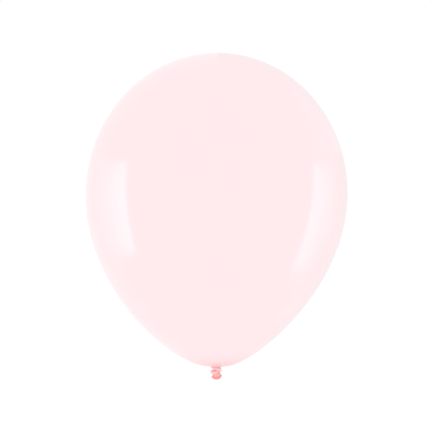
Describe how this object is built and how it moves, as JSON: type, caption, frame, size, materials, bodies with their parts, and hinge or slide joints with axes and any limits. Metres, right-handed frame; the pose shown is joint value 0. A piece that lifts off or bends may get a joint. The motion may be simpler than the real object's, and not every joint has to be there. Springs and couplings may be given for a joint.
{
  "type": "latex balloon",
  "caption": "Pear-shaped inflated latex party balloon, tied off with an overhand knot under a pleated neck, with a short tail and rolled rim.",
  "frame": {"origin": "centre of the neck tie, where the film gathers into the strand under the envelope", "axes": "+Z from the neck up to the crown, +X to the right and -Y towards the viewer"},
  "size_m": [0.28, 0.28, 0.3499],
  "materials": {
    "latex_film": "smooth stretched latex, soft gloss, slightly see-through",
    "latex_gathered": "pleated latex, soft gloss",
    "latex_relaxed": "unstretched latex, satin, finely wrinkled"
  },
  "bodies": {
    "envelope": {"envelope": "latex_film"},
    "neck_ring": {"neck_gather": "latex_gathered"},
    "neck_link": {"neck_stem": "latex_gathered"},
    "knot": {"knot_core": "latex_relaxed", "knot_upper_turn": "latex_relaxed", "knot_lower_turn": "latex_relaxed"},
    "tail_link": {"tail_stem": "latex_relaxed"},
    "tail": {"tail": "latex_relaxed", "rolled_rim": "latex_relaxed"}
  },
  "joints": [
    {"name": "neck_twist", "type": "hinge", "parent": "envelope", "child": "neck_ring", "pos_m": [0, 0, 0], "axis": [0, 0, 1], "range_deg": [-60, 60], "stiffness_Nm_per_rad": 0.004},
    {"name": "neck_sway_side", "type": "hinge", "parent": "neck_ring", "child": "neck_link", "pos_m": [0, 0, 0.0003], "axis": [0, 1, 0], "range_deg": [-15, 15], "stiffness_Nm_per_rad": 0.01},
    {"name": "neck_sway_front", "type": "hinge", "parent": "neck_link", "child": "knot", "pos_m": [0, 0, -0.0012], "axis": [1, 0, 0], "range_deg": [-15, 15], "stiffness_Nm_per_rad": 0.01},
    {"name": "tail_bend_side", "type": "hinge", "parent": "knot", "child": "tail_link", "pos_m": [0, 0, -0.0098], "axis": [0, 1, 0], "range_deg": [-20, 20], "stiffness_Nm_per_rad": 0.006},
    {"name": "tail_bend_front", "type": "hinge", "parent": "tail_link", "child": "tail", "pos_m": [0, 0, -0.011], "axis": [1, 0, 0], "range_deg": [-20, 20], "stiffness_Nm_per_rad": 0.006}
  ]
}
